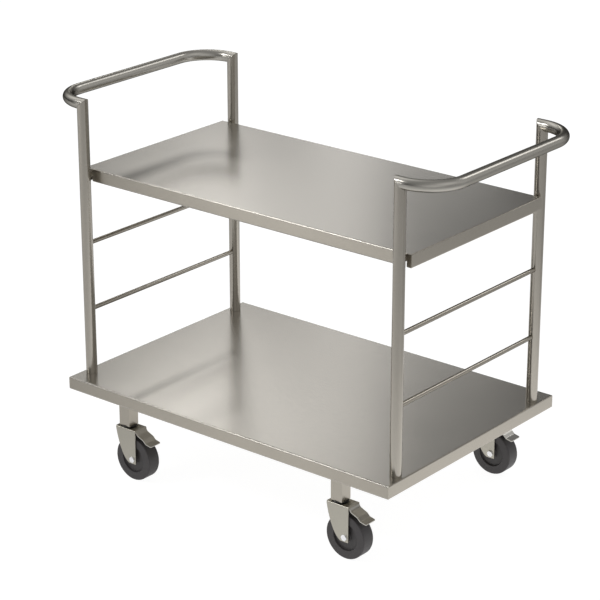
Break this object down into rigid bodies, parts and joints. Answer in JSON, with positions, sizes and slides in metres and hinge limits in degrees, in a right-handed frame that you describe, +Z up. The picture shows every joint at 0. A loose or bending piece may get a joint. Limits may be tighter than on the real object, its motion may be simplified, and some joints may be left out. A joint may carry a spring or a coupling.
{
  "type": "flat top trolley",
  "caption": "Stainless steel trolley with a flat top shelf on round uprights above a wider base shelf, bent tube handles at both ends and braked swivel casters.",
  "frame": {"origin": "on the floor, under the centre of the trolley's box", "axes": "+Z up, +X along the trolley to its right-hand handle, +Y across to its rear side"},
  "size_m": [1.0644, 0.6, 0.851],
  "materials": {
    "shelf_steel": "satin sheet with a fine grain along its length",
    "tube_steel": "satin drawn tube and bar",
    "rail_steel": "mill finish under the shelves",
    "fork_steel": "satin pressed sheet, slightly warm",
    "pedal_steel": "darker pressed sheet, satin",
    "bright_zinc": "bright plated",
    "zinc": "plated pin, satin",
    "race": "black, satin",
    "ball": "polished balls",
    "plug": "black moulded plug",
    "wheel_grey": "dark grey moulded core, satin",
    "tyre_grey": "dark grey, smooth tread, satin"
  },
  "bodies": {
    "frame": {"base_shelf": "shelf_steel", "top_shelf": "shelf_steel", "top_shelf_stiffener": "rail_steel", "centre_rail": "rail_steel", "left_cross_rail": "rail_steel", "right_cross_rail": "rail_steel", "left_handle": "tube_steel", "right_handle": "tube_steel", "left_lower_rod": "tube_steel", "left_middle_rod": "tube_steel", "left_shelf_rod": "tube_steel", "right_lower_rod": "tube_steel", "right_middle_rod": "tube_steel", "right_shelf_rod": "tube_steel", "front_left_upright": "tube_steel", "front_right_upright": "tube_steel", "rear_left_upright": "tube_steel", "rear_right_upright": "tube_steel", "front_left_post": "tube_steel", "front_right_post": "tube_steel", "rear_left_post": "tube_steel", "rear_right_post": "tube_steel", "front_left_post_plug": "plug", "front_left_kingpin": "zinc", "front_left_fixed_race": "race", "front_right_post_plug": "plug", "front_right_kingpin": "zinc", "front_right_fixed_race": "race", "rear_left_post_plug": "plug", "rear_left_kingpin": "zinc", "rear_left_fixed_race": "race", "rear_right_post_plug": "plug", "rear_right_kingpin": "zinc", "rear_right_fixed_race": "race"},
    "front_left_swivel": {"front_left_fork": "fork_steel", "front_left_race_balls": "ball", "front_left_axle_set": "bright_zinc"},
    "front_left_wheel": {"front_left_wheel_core": "wheel_grey", "front_left_wheel_tyre": "tyre_grey"},
    "front_left_pedal": {"front_left_brake_pedal": "pedal_steel"},
    "front_right_swivel": {"front_right_fork": "fork_steel", "front_right_race_balls": "ball", "front_right_axle_set": "bright_zinc"},
    "front_right_wheel": {"front_right_wheel_core": "wheel_grey", "front_right_wheel_tyre": "tyre_grey"},
    "front_right_pedal": {"front_right_brake_pedal": "pedal_steel"},
    "rear_left_swivel": {"rear_left_fork": "fork_steel", "rear_left_race_balls": "ball", "rear_left_axle_set": "bright_zinc"},
    "rear_left_wheel": {"rear_left_wheel_core": "wheel_grey", "rear_left_wheel_tyre": "tyre_grey"},
    "rear_left_pedal": {"rear_left_brake_pedal": "pedal_steel"},
    "rear_right_swivel": {"rear_right_fork": "fork_steel", "rear_right_race_balls": "ball", "rear_right_axle_set": "bright_zinc"},
    "rear_right_wheel": {"rear_right_wheel_core": "wheel_grey", "rear_right_wheel_tyre": "tyre_grey"},
    "rear_right_pedal": {"rear_right_brake_pedal": "pedal_steel"}
  },
  "joints": [
    {"name": "front_left_swivel_turn", "type": "hinge", "parent": "frame", "child": "front_left_swivel", "pos_m": [-0.301, -0.2657, 0.125], "axis": [0, 0, 1], "continuous": true},
    {"name": "front_left_wheel_roll", "type": "hinge", "parent": "front_left_swivel", "child": "front_left_wheel", "pos_m": [-0.276, -0.2657, 0.05], "axis": [0, 1, 0], "continuous": true},
    {"name": "front_left_pedal_press", "type": "hinge", "parent": "front_left_swivel", "child": "front_left_pedal", "pos_m": [-0.2767, -0.2657, 0.1135], "axis": [0, 1, 0], "range_deg": [0, 12]},
    {"name": "front_right_swivel_turn", "type": "hinge", "parent": "frame", "child": "front_right_swivel", "pos_m": [0.301, -0.2657, 0.125], "axis": [0, 0, 1], "continuous": true},
    {"name": "front_right_wheel_roll", "type": "hinge", "parent": "front_right_swivel", "child": "front_right_wheel", "pos_m": [0.326, -0.2657, 0.05], "axis": [0, 1, 0], "continuous": true},
    {"name": "front_right_pedal_press", "type": "hinge", "parent": "front_right_swivel", "child": "front_right_pedal", "pos_m": [0.3253, -0.2657, 0.1135], "axis": [0, 1, 0], "range_deg": [0, 12]},
    {"name": "rear_left_swivel_turn", "type": "hinge", "parent": "frame", "child": "rear_left_swivel", "pos_m": [-0.301, 0.2657, 0.125], "axis": [0, 0, 1], "continuous": true},
    {"name": "rear_left_wheel_roll", "type": "hinge", "parent": "rear_left_swivel", "child": "rear_left_wheel", "pos_m": [-0.276, 0.2657, 0.05], "axis": [0, 1, 0], "continuous": true},
    {"name": "rear_left_pedal_press", "type": "hinge", "parent": "rear_left_swivel", "child": "rear_left_pedal", "pos_m": [-0.2767, 0.2657, 0.1135], "axis": [0, 1, 0], "range_deg": [0, 12]},
    {"name": "rear_right_swivel_turn", "type": "hinge", "parent": "frame", "child": "rear_right_swivel", "pos_m": [0.301, 0.2657, 0.125], "axis": [0, 0, 1], "continuous": true},
    {"name": "rear_right_wheel_roll", "type": "hinge", "parent": "rear_right_swivel", "child": "rear_right_wheel", "pos_m": [0.326, 0.2657, 0.05], "axis": [0, 1, 0], "continuous": true},
    {"name": "rear_right_pedal_press", "type": "hinge", "parent": "rear_right_swivel", "child": "rear_right_pedal", "pos_m": [0.3253, 0.2657, 0.1135], "axis": [0, 1, 0], "range_deg": [0, 12]}
  ]
}
